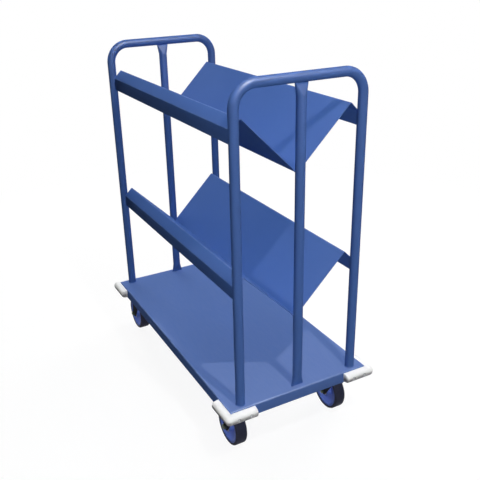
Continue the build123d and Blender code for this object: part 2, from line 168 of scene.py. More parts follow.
class Piece:
    """A mesh in the making, shaped with Blender's modelling operators in steps that can be chained."""

    def __init__(self, thing: bpy.types.Object) -> None:
        """Takes an object in hand."""
        self.thing = thing

    @classmethod
    def _start(cls, add: Callable[..., object], **shape: object) -> "Piece":
        """Adds a primitive with nothing else selected, and moves its place into its mesh.

        Args:
            add: Operator that adds it.
            shape: Size and place for the operator.

        Returns:
            The new piece.
        """
        drop_everything()
        add(**shape)
        bpy.ops.object.transform_apply(location=True, rotation=True, scale=True)
        return cls(bpy.context.active_object)

    @classmethod
    def cube(cls, low: Point, high: Point) -> "Piece":
        """Starts from a cube stretched from a lowest to a highest corner."""
        middle, span = (Vector(low) + Vector(high)) / 2, Vector(high) - Vector(low)
        return cls._start(bpy.ops.mesh.primitive_cube_add, size=1, location=middle, scale=span)

    @classmethod
    def ring(cls, centre: Point, radius: float, sides: int) -> "Piece":
        """Starts from a level ring of edges."""
        return cls._start(bpy.ops.mesh.primitive_circle_add, vertices=sides, radius=radius, location=centre)

    @classmethod
    def rod(cls, start: Point, stop: Point, radius: float, sides: int) -> "Piece":
        """Starts from a cylinder between two points.

        Args:
            start: Centre of one end.
            stop: Centre of the other end.
            radius: Radius to the corners.
            sides: Number of sides.

        Returns:
            The new piece.
        """
        span, middle = Vector(stop) - Vector(start), (Vector(start) + Vector(stop)) / 2
        turn = span.to_track_quat("Z", "Y").to_euler()
        shape = {"vertices": sides, "radius": radius, "depth": span.length}
        return cls._start(bpy.ops.mesh.primitive_cylinder_add, location=middle, rotation=turn, **shape)

    @classmethod
    def line(cls, points: Iterable[Point]) -> "Piece":
        """Starts from a plane merged to one corner, drawn out along a line of points.

        Args:
            points: Points of the line, in order.

        Returns:
            The new piece.
        """
        stops = [Vector(p) for p in points]
        piece = cls._start(bpy.ops.mesh.primitive_plane_add, size=MM, location=stops[0])
        piece.pick_all()
        bpy.ops.mesh.merge(type="CENTER")
        for before, after in zip(stops, stops[1:]):
            bpy.ops.mesh.extrude_vertices_move(TRANSFORM_OT_translate={"value": after - before})
        return piece

    @classmethod
    def turned(cls, outline: Iterable[Point], steps: int) -> "Piece":
        """Turns an outline of radii and heights round the Z axis. A closed one ends with its first point."""
        piece = cls.line((radius, 0.0, height) for radius, height in outline)
        return piece.pick_all().spin((0, 0, 0), (0, 0, 1), 360, steps).close_up()

    @staticmethod
    def joined(pieces: Sequence["Piece"]) -> "Piece":
        """Takes pieces into the first of them as loose shells.

        Args:
            pieces: Pieces to join.

        Returns:
            The first piece.
        """
        pieces[0].leave()
        for other in pieces[1:]:
            other.thing.select_set(True)
        bpy.ops.object.join()
        return pieces[0]

    def edit(self) -> None:
        """Enters edit mode with this piece alone in hand."""
        if bpy.context.edit_object != self.thing:
            self.leave()
            bpy.ops.object.mode_set(mode="EDIT")

    def leave(self) -> None:
        """Goes back to object mode with this piece alone in hand."""
        drop_everything()
        self.thing.select_set(True)
        bpy.context.view_layer.objects.active = self.thing

    def _select(self, kind: Element, chosen: Callable[..., bool]) -> "Piece":
        """Selects the elements that pass a test, and nothing else.

        Args:
            kind: Kind of element to select.
            chosen: Test of an edge or face.

        Returns:
            This piece.
        """
        self.edit()
        bpy.ops.mesh.select_mode(type=kind.value)
        bpy.ops.mesh.select_all(action="DESELECT")
        mesh = bmesh.from_edit_mesh(self.thing.data)
        for element in mesh.edges if kind is Element.EDGE else mesh.faces:
            element.select_set(chosen(element))
        mesh.select_flush_mode()
        bmesh.update_edit_mesh(self.thing.data)
        return self

    def pick(self, kind: Element, test: Test) -> "Piece":
        """Selects the elements whose corners all pass a test of their place, and nothing else."""
        return self._select(kind, lambda element: all(test(corner.co) for corner in element.verts))

    def pick_facing(self, looks: Test) -> "Piece":
        """Selects the faces whose normal passes a test, and nothing else."""
        return self._select(Element.FACE, lambda face: looks(face.normal))

    def pick_all(self) -> "Piece":
        """Selects the whole piece.

        Returns:
            This piece.
        """
        self.edit()
        bpy.ops.mesh.select_mode(type="VERT")
        bpy.ops.mesh.select_all(action="SELECT")
        return self

    def reshape(self, change: Callable[[Vector], Point]) -> "Piece":
        """Moves every corner to the place that a formula gives for it.

        Args:
            change: New place of a corner from its old one.

        Returns:
            This piece.
        """
        self.edit()
        mesh = bmesh.from_edit_mesh(self.thing.data)
        for vertex in mesh.verts:
            vertex.co = change(vertex.co)
        bmesh.update_edit_mesh(self.thing.data)
        return self

    def extrude(self, x: float = 0.0, y: float = 0.0, z: float = 0.0) -> "Piece":
        """Draws the selection out by a step and keeps its far end selected."""
        bpy.ops.mesh.extrude_region_move(TRANSFORM_OT_translate={"value": (x, y, z)})
        return self

    def spin(self, centre: Point, axis: Point, angle: float, steps: int) -> "Piece":
        """Sweeps the selection round an axis and keeps its far end selected."""
        bpy.ops.mesh.spin(steps=steps, angle=radians(angle), center=centre, axis=axis)
        return self

    def round(self, width: float, strips: int) -> "Piece":
        """Bevels the selected edges, each to a number of strips over a width to either side."""
        bpy.ops.mesh.bevel(offset=width, offset_type="OFFSET", segments=strips, profile=0.5, affect="EDGES")
        return self

    def delete_faces(self) -> "Piece":
        """Deletes the selected faces."""
        bpy.ops.mesh.delete(type=Element.FACE.value)
        return self

    def fill(self) -> "Piece":
        """Closes the selected loop of edges with a face."""
        bpy.ops.mesh.edge_face_add()
        return self

    def close_up(self) -> "Piece":
        """Merges doubled corners and turns every face outwards.

        Returns:
            This piece.
        """
        self.pick_all()
        bpy.ops.mesh.remove_doubles(threshold=NEAR)
        bpy.ops.mesh.select_all(action="SELECT")
        bpy.ops.mesh.normals_make_consistent(inside=False)
        return self

    def face_up(self) -> "Piece":
        """Turns the faces of an open sheet over if they look down.

        Returns:
            This piece.
        """
        self.pick_all()
        if sum(face.normal.z for face in bmesh.from_edit_mesh(self.thing.data).faces) < 0:
            bpy.ops.mesh.flip_normals()
        return self

    def modify(self, kind: str, settings: Mapping[str, object]) -> "Piece":
        """Adds a modifier and applies it.

        Args:
            kind: Type of the modifier.
            settings: Its settings by name.

        Returns:
            This piece.
        """
        self.leave()
        modifier = self.thing.modifiers.new(kind.lower(), kind)
        for name, value in settings.items():
            setattr(modifier, name, value)
        bpy.ops.object.modifier_apply(modifier=modifier.name)
        return self

    def thicken(self, sheet: float) -> "Piece":
        """Gives a sheet its thickness, behind its faces."""
        return self.modify("SOLIDIFY", {"thickness": sheet, "offset": -1.0, "use_even_offset": True})

    def soften(self, width: float, strips: int = 2, angle: float = 40.0) -> "Piece":
        """Rounds every edge that turns by more than an angle."""
        bevel = {"width": width, "segments": strips, "limit_method": "ANGLE", "angle_limit": radians(angle)}
        return self.modify("BEVEL", {**bevel, "miter_outer": "MITER_ARC"})

    def combine(self, other: "Piece", meeting: Meeting) -> "Piece":
        """Combines this piece with another, which is used up.

        Args:
            other: The other piece.
            meeting: How they are combined.

        Returns:
            This piece.
        """
        other.leave()
        self.modify("BOOLEAN", {"operation": meeting.value, "object": other.thing, "solver": "EXACT"})
        other.discard()
        return self

    def discard(self) -> None:
        """Deletes the piece."""
        mesh = self.thing.data
        bpy.data.objects.remove(self.thing)
        bpy.data.meshes.remove(mesh)

    def copy(self, placing: Matrix) -> "Piece":
        """Copies the piece with a mesh of its own.

        Args:
            placing: How the copy is moved, turned or mirrored.

        Returns:
            The copy.
        """
        self.leave()
        thing = self.thing.copy()
        thing.data = self.thing.data.copy()
        bpy.context.scene.collection.objects.link(thing)
        thing.data.transform(placing)
        if placing.determinant() < 0:
            thing.data.flip_normals()
        return Piece(thing)

    def mark_edges(self) -> None:
        """Marks the faces at every tight outward bend, where hands and boxes rub the surface."""
        self.edit()
        mesh = bmesh.from_edit_mesh(self.thing.data)
        mark = mesh.faces.layers.float.new(EDGE_MARK)
        for edge in mesh.edges:
            if len(edge.link_faces) == 2:
                first, second = edge.link_faces
                step = (first.calc_center_median() - second.calc_center_median()).length
                if edge.calc_face_angle_signed(0.0) > TIGHT_BEND * step:
                    first[mark] = second[mark] = 1.0
        bmesh.update_edit_mesh(self.thing.data)

    def install(
        self, name: str, finish: "Finish", body: str = CART, nodes: Sequence[str] = (), smooth: float = 35.0
    ) -> None:
        """Names, dresses and smooths the finished piece and sets it on its body.

        Args:
            name: Name of the piece.
            finish: Its surface.
            body: Body that it moves with.
            nodes: CAD nodes that it stands for.
            smooth: Greatest turn between faces that is shaded smooth.
        """
        self.mark_edges()
        self.leave()
        bpy.ops.object.shade_smooth_by_angle(angle=radians(smooth))
        self.thing.name = name
        self.thing.data.name = name
        self.thing.data.materials.clear()
        self.thing.data.materials.append(finish.material())
        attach(self.thing, body)
        if nodes:
            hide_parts(*nodes)
        LOG.info("%s: %d faces on %s", name, len(self.thing.data.polygons), body)


class Signal:
    """An output socket of a shader tree that can be used in sums."""

    def __init__(self, tree: "ShaderTree", socket: bpy.types.NodeSocket) -> None:
        """Wraps a socket of a tree."""
        self.tree = tree
        self.socket = socket

    def _sum(self, operation: str, first: "Value", second: "Value") -> "Signal":
        """Adds one Math node."""
        return self.tree.add("ShaderNodeMath", {"operation": operation}, {0: first, 1: second})

    def __add__(self, other: "Value") -> "Signal":
        """Sum of two values."""
        return self._sum("ADD", self, other)

    def __radd__(self, other: "Value") -> "Signal":
        """Sum with a number on the left."""
        return self._sum("ADD", other, self)

    def __sub__(self, other: "Value") -> "Signal":
        """Difference of two values."""
        return self._sum("SUBTRACT", self, other)

    def __rsub__(self, other: "Value") -> "Signal":
        """Difference with a number on the left."""
        return self._sum("SUBTRACT", other, self)

    def __mul__(self, other: "Value") -> "Signal":
        """Product of two values."""
        return self._sum("MULTIPLY", self, other)

    def __rmul__(self, other: "Value") -> "Signal":
        """Product with a number on the left."""
        return self._sum("MULTIPLY", other, self)

    def __or__(self, other: "Value") -> "Signal":
        """Larger of two values, for masks."""
        return self._sum("MAXIMUM", self, other)

    def __ror__(self, other: "Value") -> "Signal":
        """Larger of a number on the left and this value."""
        return self._sum("MAXIMUM", other, self)


Value = Signal | float | Sequence[float]


class ShaderTree:
    """Shader nodes of one material or world, added one at a time."""

    # Strength of each finer octave of a noise against the one before it.
    OCTAVE = 0.55

    def __init__(self, owner: bpy.types.Material | bpy.types.World, output: str) -> None:
        """Empties the tree of a material or world and gives it its output node.

        Args:
            owner: The material or world.
            output: Type of the output node.
        """
        owner.use_nodes = True
        self.tree = owner.node_tree
        self.tree.nodes.clear()
        self.output = self.tree.nodes.new(output)

    @staticmethod
    def _find(sockets: bpy.types.bpy_prop_collection, key: int | str) -> bpy.types.NodeSocket:
        """Socket by its number or its identifier."""
        return sockets[key] if isinstance(key, int) else next(s for s in sockets if s.identifier == key)

    def add(
        self,
        kind: str,
        settings: Mapping[str, object] | None = None,
        inputs: Mapping[int | str, Value] | None = None,
        output: int | str = 0,
    ) -> Signal:
        """Adds one node.

        Args:
            kind: Type of the node.
            settings: Its settings by name.
            inputs: Values or links of its input sockets.
            output: Output socket to give back.

        Returns:
            The chosen output.
        """
        node = self.tree.nodes.new(kind)
        for name, value in (settings or {}).items():
            setattr(node, name, value)
        for key, value in (inputs or {}).items():
            socket = self._find(node.inputs, key)
            if isinstance(value, Signal):
                self.tree.links.new(value.socket, socket)
            else:
                socket.default_value = value
        return Signal(self, self._find(node.outputs, output))

    def show(self, shader: Signal) -> None:
        """Links a shader to the output."""
        self.tree.links.new(shader.socket, self.output.inputs[0])

    def place(self) -> Signal:
        """Place on the object, in its own coordinates."""
        return self.add("ShaderNodeTexCoord", output="Object")

    def noise(self, grain: float, detail: float = 3.0, stretch: Point = (1.0, 1.0, 1.0)) -> Signal:
        """Cloudy pattern that stays with the object.

        Args:
            grain: Size of its clouds.
            detail: Octaves of finer clouds.
            stretch: How much finer it is along each axis.

        Returns:
            A value about one half.
        """
        scale = tuple(share / grain for share in stretch)
        vector = self.add("ShaderNodeMapping", {}, {"Vector": self.place(), "Scale": scale})
        inputs = {"Vector": vector, "Scale": 1.0, "Detail": detail, "Roughness": self.OCTAVE}
        return self.add("ShaderNodeTexNoise", {}, inputs)

    def fade(self, value: Signal, start: float, stop: float, low: float = 0.0, high: float = 1.0) -> Signal:
        """Value that goes from low to high while another goes from start to stop."""
        inputs = {"Value": value, "From Min": start, "From Max": stop, "To Min": low, "To Max": high}
        return self.add("ShaderNodeMapRange", {}, inputs, "Result")

    def rise(self, start: float, stop: float) -> Signal:
        """Value that goes from 0 to 1 between two heights."""
        height = self.add("ShaderNodeSeparateXYZ", {}, {"Vector": self.place()}, "Z")
        return self.fade(height, start, stop)

    def patches(self, noise: Signal, least: float = 0.0, start: float = 0.3, stop: float = 0.7) -> Signal:
        """Noise sharpened to patches of 1 on a least value, which start and are full at given noises."""
        return self.fade(noise, start, stop, least)

    def rubbed(self, grain: float) -> Signal:
        """Mask of the marked edges, broken up into patches of a size."""
        mark = self.add("ShaderNodeAttribute", {"attribute_name": EDGE_MARK}, output="Fac")
        return mark * self.patches(self.noise(grain, detail=4.0), least=0.25, start=0.4, stop=0.65)

    def between(self, amount: Value, first: Value, second: Value) -> Signal:
        """Colour between two others, the first at an amount of 0 and the second at 1."""
        inputs = {"Factor_Float": amount, "A_Color": first, "B_Color": second}
        return self.add("ShaderNodeMix", {"data_type": "RGBA"}, inputs, "Result_Color")

    def bump(self, height: Signal, depth: float, strength: float) -> Signal:
        """Normal of a surface with a fine relief, from its height between 0 and 1 and its depth."""
        inputs = {"Strength": strength, "Distance": depth, "Height": height}
        return self.add("ShaderNodeBump", {}, inputs, "Normal")


Sockets = dict[int | str, Value]


@dataclass(frozen=True)
class Finish:
    """Surface of a piece, in one slot of the record."""

    name: str
    slot: Slot

    def material(self) -> bpy.types.Material:
        """Material of this finish, built when it is first asked for.

        Returns:
            The material.
        """
        material = bpy.data.materials.get(self.name)
        if material is None:
            material = bpy.data.materials.new(self.name)
            tree = ShaderTree(material, "ShaderNodeOutputMaterial")
            tree.show(tree.add("ShaderNodeBsdfPrincipled", {}, self.sockets(tree)))
        return material

    def sockets(self, tree: ShaderTree) -> Sockets:
        """Values of the shader's sockets by identifier, or links that are built in a tree."""
        raise NotImplementedError


@dataclass(frozen=True)
class PowderCoat(Finish):
    """Baked powder paint: an even colour with fine orange peel, a broad soft gloss and paler rubbed edges."""

    colour: Colour
    thin: Colour
    rubbed: Colour
    roughness: float = 0.5
    specular: float = 0.0
    gloss: float = 0.05
    gloss_ior: float = 2.1
    gloss_roughness: float = 0.5
    peel: float = 2.2 * MM
    peel_depth: float = 0.06 * MM
    peel_strength: float = 0.6
    speck_share: float = 0.6
    cloud: float = 160 * MM
    rub: float = 25 * MM
    rub_strength: float = 0.25
    cloud_sway: float = 0.10
    speck_sway: float = 0.08
    rub_polish: float = 0.12

    def sockets(self, tree: ShaderTree) -> Sockets:
        """Sockets of the paint.

        Args:
            tree: Tree to build the links in.

        Returns:
            Values and links by identifier.
        """
        cloud = tree.patches(tree.noise(self.cloud))
        peel = tree.noise(self.peel, detail=1.5)
        speck = tree.noise(self.speck_share * self.peel, detail=1.0)
        edge = tree.rubbed(self.rub)
        even = tree.between(0.5 * cloud + 0.5 * speck, self.colour, self.thin)
        sway = self.cloud_sway * (cloud - 0.5) + self.speck_sway * (speck - 0.5)
        return {
            "Base Color": tree.between(self.rub_strength * edge, self.scuffed(tree, even), self.rubbed),
            "Roughness": self.roughness + sway - self.rub_polish * edge,
            "Specular IOR Level": self.specular,
            "Coat Weight": self.gloss,
            "Coat IOR": self.gloss_ior,
            "Coat Roughness": self.gloss_roughness,
            "Normal": tree.bump(peel, self.peel_depth, self.peel_strength),
        }

    def scuffed(self, tree: ShaderTree, even: Signal) -> Signal:
        """Colour after use and painted sheen, which is the even colour where neither scuffs nor sheen are
        added.
        """
        return even


@dataclass(frozen=True)
class DeckCoat(PowderCoat):
    """Powder paint made paler and greyer in streaks on top of the deck, partly box scuffs and partly a
    painted sheen of the top face.
    """

    # Paler grey-blue of the deck top: box scuffs together with painted sheen.
    scuff: Colour = grey(1.0)
    level: float = 189 * MM
    blend: float = 2 * MM
    streak: float = 45 * MM
    stretch: Point = (1.0, 6.0, 1.0)
    least: float = 0.75

    def scuffed(self, tree: ShaderTree, even: Signal) -> Signal:
        """Colour with the scuffs and painted sheen of the top."""
        streaks = tree.patches(tree.noise(self.streak, detail=5.0, stretch=self.stretch), self.least)
        return tree.between(tree.rise(self.level - self.blend, self.level) * streaks, even, self.scuff)


@dataclass(frozen=True)
class Moulding(Finish):
    """Moulded plastic or rubber with a fine spark texture and scuffed edges."""

    colour: Colour
    worn: Colour
    roughness: float
    specular: float = 0.1
    grain: float = 0.9 * MM
    grain_depth: float = 0.05 * MM
    grain_strength: float = 0.5
    grain_share: float = 0.2
    grain_sway: float = 0.12
    cloud: float = 30 * MM
    cloud_share: float = 0.6
    rub: float = 12 * MM
    scuff_sway: float = 0.08

    def sockets(self, tree: ShaderTree) -> Sockets:
        """Sockets of the moulding.

        Args:
            tree: Tree to build the links in.

        Returns:
            Values and links by identifier.
        """
        cloud = tree.patches(tree.noise(self.cloud, detail=4.0), start=0.35, stop=0.75)
        grain = tree.noise(self.grain, detail=2.0)
        scuff = self.cloud_share * cloud + self.grain_share * grain | tree.rubbed(self.rub)
        return {
            "Base Color": self.soiled(tree, tree.between(scuff, self.colour, self.worn)),
            "Roughness": self.roughness + self.grain_sway * (grain - 0.5) + self.scuff_sway * scuff,
            "Specular IOR Level": self.specular,
            "Normal": tree.bump(grain, self.grain_depth, self.grain_strength),
        }

    def soiled(self, tree: ShaderTree, clean: Signal) -> Signal:
        """Colour after use and painted shade, which is the clean colour where no dirt gathers and no shade is
        painted.
        """
        return clean


@dataclass(frozen=True)
class BumperRubber(Moulding):
    """White moulding painted darker grey towards the bottom in broken marks: painted shade along its lower
    half, together with grey marks of doors and walls.
    """

    # Grey of the lower half: painted shade under the nose, mixed with dirt marks.
    dirt: Colour = linear(118, 118, 121)
    level: float = 179 * MM
    blend: float = 9 * MM
    mark: float = 9 * MM
    mark_least: float = 0.55

    def soiled(self, tree: ShaderTree, clean: Signal) -> Signal:
        """Colour with the painted shade and dirt marks below."""
        marks = tree.patches(tree.noise(self.mark, detail=4.0), self.mark_least)
        return tree.between((1.0 - tree.rise(self.level - self.blend, self.level)) * marks, clean, self.dirt)


@dataclass(frozen=True)
class PlatedSteel(Finish):
    """Plated or ground steel with faint brushing and bright edges."""

    colour: Colour
    dull: Colour
    roughness: float = 0.3
    grain: float = 4 * MM
    brush_stretch: Point = (1.0, 1.0, 14.0)
    brush_depth: float = 0.02 * MM
    brush_strength: float = 0.4
    brush_sway: float = 0.18
    cloud_sway: float = 0.10
    rub: float = 3 * MM
    rub_polish: float = 0.08

    def sockets(self, tree: ShaderTree) -> Sockets:
        """Sockets of the metal.

        Args:
            tree: Tree to build the links in.

        Returns:
            Values and links by identifier.
        """
        cloud = tree.patches(tree.noise(self.grain, detail=4.0))
        brush = tree.noise(self.grain, detail=2.0, stretch=self.brush_stretch)
        edge = tree.rubbed(self.rub)
        sway = self.brush_sway * (brush - 0.5) + self.cloud_sway * cloud
        return {
            "Base Color": tree.between(cloud - edge, self.colour, self.dull),
            "Metallic": 1.0,
            "Roughness": self.roughness + sway - self.rub_polish * edge,
            "Normal": tree.bump(brush, self.brush_depth, self.brush_strength),
        }


BLUES = (linear(69, 102, 168), linear(73, 106, 172), linear(128, 150, 200))
CHARCOALS = (linear(48, 52, 64), linear(56, 60, 72), linear(96, 100, 108))
WHITES = (linear(246, 246, 245), linear(238, 239, 239))
GROUND = (linear(188, 190, 194), linear(150, 153, 158))
# Paler, greyer blue of the deck top: partly box scuffs, partly painted sheen.
DECK_SCUFF_AND_SHEEN = linear(88, 114, 171)

BLUE_PAINT = PowderCoat("blue_powder_coat", Slot.BLUE_PAINT, *BLUES)
DECK_PAINT = DeckCoat("deck_powder_coat", Slot.BLUE_PAINT, *BLUES, 0.9, 0.06, scuff=DECK_SCUFF_AND_SHEEN)
DARK_PAINT = PowderCoat("charcoal_coat", Slot.DARK_PAINT, *CHARCOALS)
WHITE_RUBBER = BumperRubber("white_bumper", Slot.WHITE_RUBBER, *WHITES, 0.5, 0.0)
WHEEL_BLUE = Moulding("wheel_nylon", Slot.WHEEL_BLUE, linear(92, 116, 200), linear(98, 122, 206), 0.45)
TREAD_BLACK = Moulding("tread_rubber", Slot.TREAD_BLACK, linear(42, 44, 62), linear(52, 54, 70), 0.62)
ZINC = PlatedSteel("zinc_plate", Slot.ZINC, linear(206, 208, 210), linear(170, 173, 178))
DARK_STEEL = PlatedSteel("olive_steel", Slot.DARK_STEEL, linear(82, 92, 84), linear(66, 74, 68), 0.4)
BEARING_STEEL = PlatedSteel("ground_steel", Slot.BEARING_STEEL, *GROUND, 0.24)
FINISHES = (BLUE_PAINT, DARK_PAINT, WHITE_RUBBER, WHEEL_BLUE, TREAD_BLACK, ZINC, DARK_STEEL, BEARING_STEEL)


@dataclass
class DeckTray:
    """Sheet deck with its edges folded down, and the two channels under it."""

    sheet: float = 2 * MM
    fold: float = 4 * MM
    fold_strips: int = 6
    channel_sheet: float = 3 * MM
    channel_bend: float = 6 * MM
    bend_strips: int = 5
    edge: float = 0.4 * MM

    def build(self) -> None:
        """Builds the tray and its channels."""
        low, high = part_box("deck_tray")
        tray = Piece.cube(low, high)
        tray.pick(Element.FACE, on(z=low.z)).delete_faces()
        tray.pick(Element.EDGE, on(z=high.z)).round(self.fold, self.fold_strips)
        tray.thicken(self.sheet).soften(self.edge)
        tray.install("deck", DECK_PAINT, nodes=["deck_tray"])
        for end in End:
            self.build_channel(end)

    def build_channel(self, end: End) -> None:
        """Builds the channel that carries the casters of one end.

        Args:
            end: End of the cart.
        """
        node = f"cross_member_{end.word}"
        low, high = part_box(node)
        channel = Piece.cube(low, high)
        channel.pick(Element.FACE, on(z=high.z)).delete_faces()
        for y in (low.y, high.y):
            channel.pick(Element.FACE, on(y=y)).delete_faces()
        for x in (low.x, high.x):
            channel.pick(Element.EDGE, on(x=x, z=low.z)).round(self.channel_bend, self.bend_strips)
        channel.thicken(self.channel_sheet).soften(self.edge)
        channel.install(f"channel_{end.word}", BLUE_PAINT, nodes=[node])


@dataclass
class WeldBead:
    """Run of weld metal with the ripples that the arc leaves."""

    radius: float = 1.8 * MM
    pitch: float = 3.0 * MM
    swell: float = 0.14
    taper: float = 4.0
    fewest: int = 2
    sides: int = 10
    steps_per_ripple: int = 4
    smooth: float = 80.0

    def ring(self, centre: Point, ring_radius: float) -> Piece:
        """Bead round the foot of a tube.

        Args:
            centre: Centre of the ring.
            ring_radius: Radius of its middle line.

        Returns:
            The bead.
        """
        ripples = round(2 * pi * ring_radius / self.pitch)
        outline = arc((ring_radius, 0.0), self.radius, 0, 360, self.sides)
        middle = Vector(centre)

        def ripple(corner: Vector) -> Vector:
            """Swells the bead in waves along its line.

            Args:
                corner: Corner of the even bead about the origin.

            Returns:
                Its place on the rippled bead.
            """
            angle = atan2(corner.y, corner.x)
            core = Vector((cos(angle), sin(angle), 0.0)) * ring_radius
            return middle + core + (corner - core) * (1 + self.swell * sin(ripples * angle))

        return Piece.turned(outline, ripples * self.steps_per_ripple).reshape(ripple)

    def run(self, start: Point, stop: Point) -> Piece:
        """Straight bead with rounded ends.

        Args:
            start: Start of its middle line.
            stop: End of its middle line.

        Returns:
            The bead.
        """
        begin, span = Vector(start), Vector(stop) - Vector(start)
        ripples = max(round(span.length / self.pitch), self.fewest)
        steps = ripples * self.steps_per_ripple
        outline = [(0.0, 0.0)]
        for i in range(1, steps):
            along = i / steps
            end = min(1.0, self.taper * along, self.taper * (1 - along)) ** 0.5
            wave = 1 + self.swell * sin(2 * pi * ripples * along)
            outline.append((self.radius * end * wave, span.length * along))
        outline.append((0.0, span.length))
        bead = Piece.turned(outline, self.sides)
        turn = span.to_track_quat("Z", "Y").to_matrix().to_4x4()
        placed = bead.copy(Matrix.Translation(begin) @ turn)
        bead.discard()
        return placed


@dataclass
class EndFrame:
    """Tube bent to an upside-down U, whose top bar is the push handle."""

    end: End
    bend_radius: float = 60 * MM
    sides: int = 48
    bend_steps: int = 24
    smooth: float = 50.0

    def __post_init__(self) -> None:
        """Takes the tube's size and place from the frame."""
        self.node = f"end_frame_{self.end.word}"
        low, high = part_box(self.node)
        self.radius = (high.x - low.x) / 2
        self.x = (low.x + high.x) / 2
        self.foot = low.z
        self.bar = high.z - self.radius
        self.half_width = high.y - self.radius

    def build(self) -> None:
        """Builds the bent tube and the welds round its feet."""
        bend = self.bend_radius
        rise, reach = self.bar - bend - self.foot, self.half_width - bend
        tube = Piece.ring((self.x, -self.half_width, self.foot), self.radius, self.sides)
        tube.pick_all().extrude(z=rise)
        tube.spin((self.x, -reach, self.bar - bend), (1, 0, 0), 90, self.bend_steps).extrude(y=2 * reach)
        tube.spin((self.x, reach, self.bar - bend), (1, 0, 0), 90, self.bend_steps).extrude(z=-rise)
        for side in Side:
            tube.pick(Element.EDGE, lambda p: near(p.z, self.foot) and p.y * side.value > 0).fill()
        tube.close_up()
        tube.install(f"end_tube_{self.end.word}", BLUE_PAINT, nodes=[self.node], smooth=self.smooth)
        weld = WeldBead()
        for side in Side:
            bead = weld.ring((self.x, side.value * self.half_width, self.foot), self.radius)
            bead.install(f"foot_weld_{corner_word(self.end, side)}", BLUE_PAINT, smooth=weld.smooth)


@dataclass
class CentrePost:
    """Tube between the deck and the top bar, with both ends crushed flat across the cart."""

    end: End
    crush: float = 30 * MM
    flat_half: float = 2.5 * MM
    flat_tip: float = 8.0
    sides: int = 90
    smooth: float = 18.0

    def __post_init__(self) -> None:
        """Takes the post's size and place from the frame."""
        self.node = f"centre_post_{self.end.word}"
        low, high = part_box(self.node)
        self.radius = (high.x - low.x) / 2
        self.spread = high.y
        self.x = (low.x + high.x) / 2
        self.foot, self.head = low.z, high.z

    def build(self) -> None:
        """Builds the post."""
        post = Piece.ring((self.x, 0, self.foot), self.radius, self.sides)
        post.pick_all().extrude(z=self.crush)
        post.extrude(z=self.head - self.foot - 2 * self.crush).extrude(z=self.crush)
        for level in (self.foot, self.head):
            post.pick(Element.EDGE, on(z=level)).fill()
        post.close_up().reshape(self.crushed)
        post.install(f"post_{self.end.word}", BLUE_PAINT, nodes=[self.node], smooth=self.smooth)

    def crushed(self, corner: Vector) -> Point:
        """Carries a corner of the end rings over to the flat slot that the tube is crushed to.

        Args:
            corner: Corner of the round tube.

        Returns:
            Its place on the crushed tube.
        """
        if not (near(corner.z, self.foot) or near(corner.z, self.head)):
            return corner
        across, along = corner.x - self.x, corner.y
        turn = degrees(atan2(abs(along), abs(across)))
        straight = self.spread - self.flat_half
        if turn <= self.flat_tip:
            x, y = self.flat_half, straight * turn / self.flat_tip
        else:
            edge = radians(90 * (turn - self.flat_tip) / (90 - self.flat_tip))
            x, y = self.flat_half * cos(edge), straight + self.flat_half * sin(edge)
        return (self.x + (x if across > 0 else -x), y if along > 0 else -y, corner.z)


@dataclass
class VeeShelf:
    """Sheet folded to a V along its middle, with a lip and a flange turned down along each long side."""

    # Panels and lips all slope by this angle in radians, so each goes as far along Z as along Y.
    SLOPE = pi / 4

    level: str
    sheet: float = 2 * MM
    fold: float = 4 * MM
    fold_strips: int = 6
    lip: float = 37.5 * MM
    lip_strips: int = 4
    flange: float = 38 * MM
    edge: float = 0.4 * MM
    weld_margin: float = 5 * MM
    weld_reach: float = 14 * MM

    def build(self) -> None:
        """Builds the shelf from one flange to the other, and the welds that hold it."""
        node = f"{self.level}_shelf"
        low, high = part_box(node)
        lip = self.lip * sin(self.SLOPE)
        ridge_y = high.y - lip
        lip_z = high.z + self.fold * (ROOT_TWO - 1) - lip
        lip_bend = self.fold * tan(self.SLOPE / 2)
        hem = lip_z - self.flange
        shelf = Piece.line([(low.x, -high.y, hem), (high.x, -high.y, hem)])
        shelf.pick_all().extrude(z=self.flange)
        for y, z in ((lip, lip), (ridge_y, -ridge_y), (ridge_y, ridge_y), (lip, -lip)):
            shelf.extrude(y=y, z=z)
        shelf.extrude(z=-self.flange).close_up().face_up()
        for y in (-ridge_y, 0.0, ridge_y):
            shelf.pick(Element.EDGE, on(y=y)).round(self.fold, self.fold_strips)
        for y in (-high.y, high.y):
            shelf.pick(Element.EDGE, on(y=y, z=lip_z)).round(lip_bend, self.lip_strips)
        shelf.thicken(self.sheet).soften(self.edge)
        shelf.install(f"{self.level}_vee", BLUE_PAINT, nodes=[node])
        self.build_welds(high.x, high.y, (hem, lip_z), lip_z + lip - ridge_y)

    def build_welds(self, end_x: float, flange_y: float, flange_z: Sequence[float], vee_z: float) -> None:
        """Runs a bead inside each flange along its tube and under the V along each post.

        Args:
            end_x: Where the sheet ends.
            flange_y: Outside of the flange.
            flange_z: Lower and upper level of the flange.
            vee_z: Level of the fold at the middle.
        """
        under, reach = self.sheet * ROOT_TWO, self.weld_reach
        bottom, top = flange_z[0] + self.weld_margin, flange_z[1] - self.weld_margin
        weld = WeldBead()
        beads = []
        for end, side in CORNERS:
            x = end.value * end_x
            inside = side.value * (flange_y - self.sheet)
            beads.append(weld.run((x, inside, bottom), (x, inside, top)))
            beads.append(weld.run((x, 0.0, vee_z - under), (x, side.value * reach, vee_z + reach - under)))
        Piece.joined(beads).install(f"{self.level}_shelf_welds", BLUE_PAINT, smooth=weld.smooth)


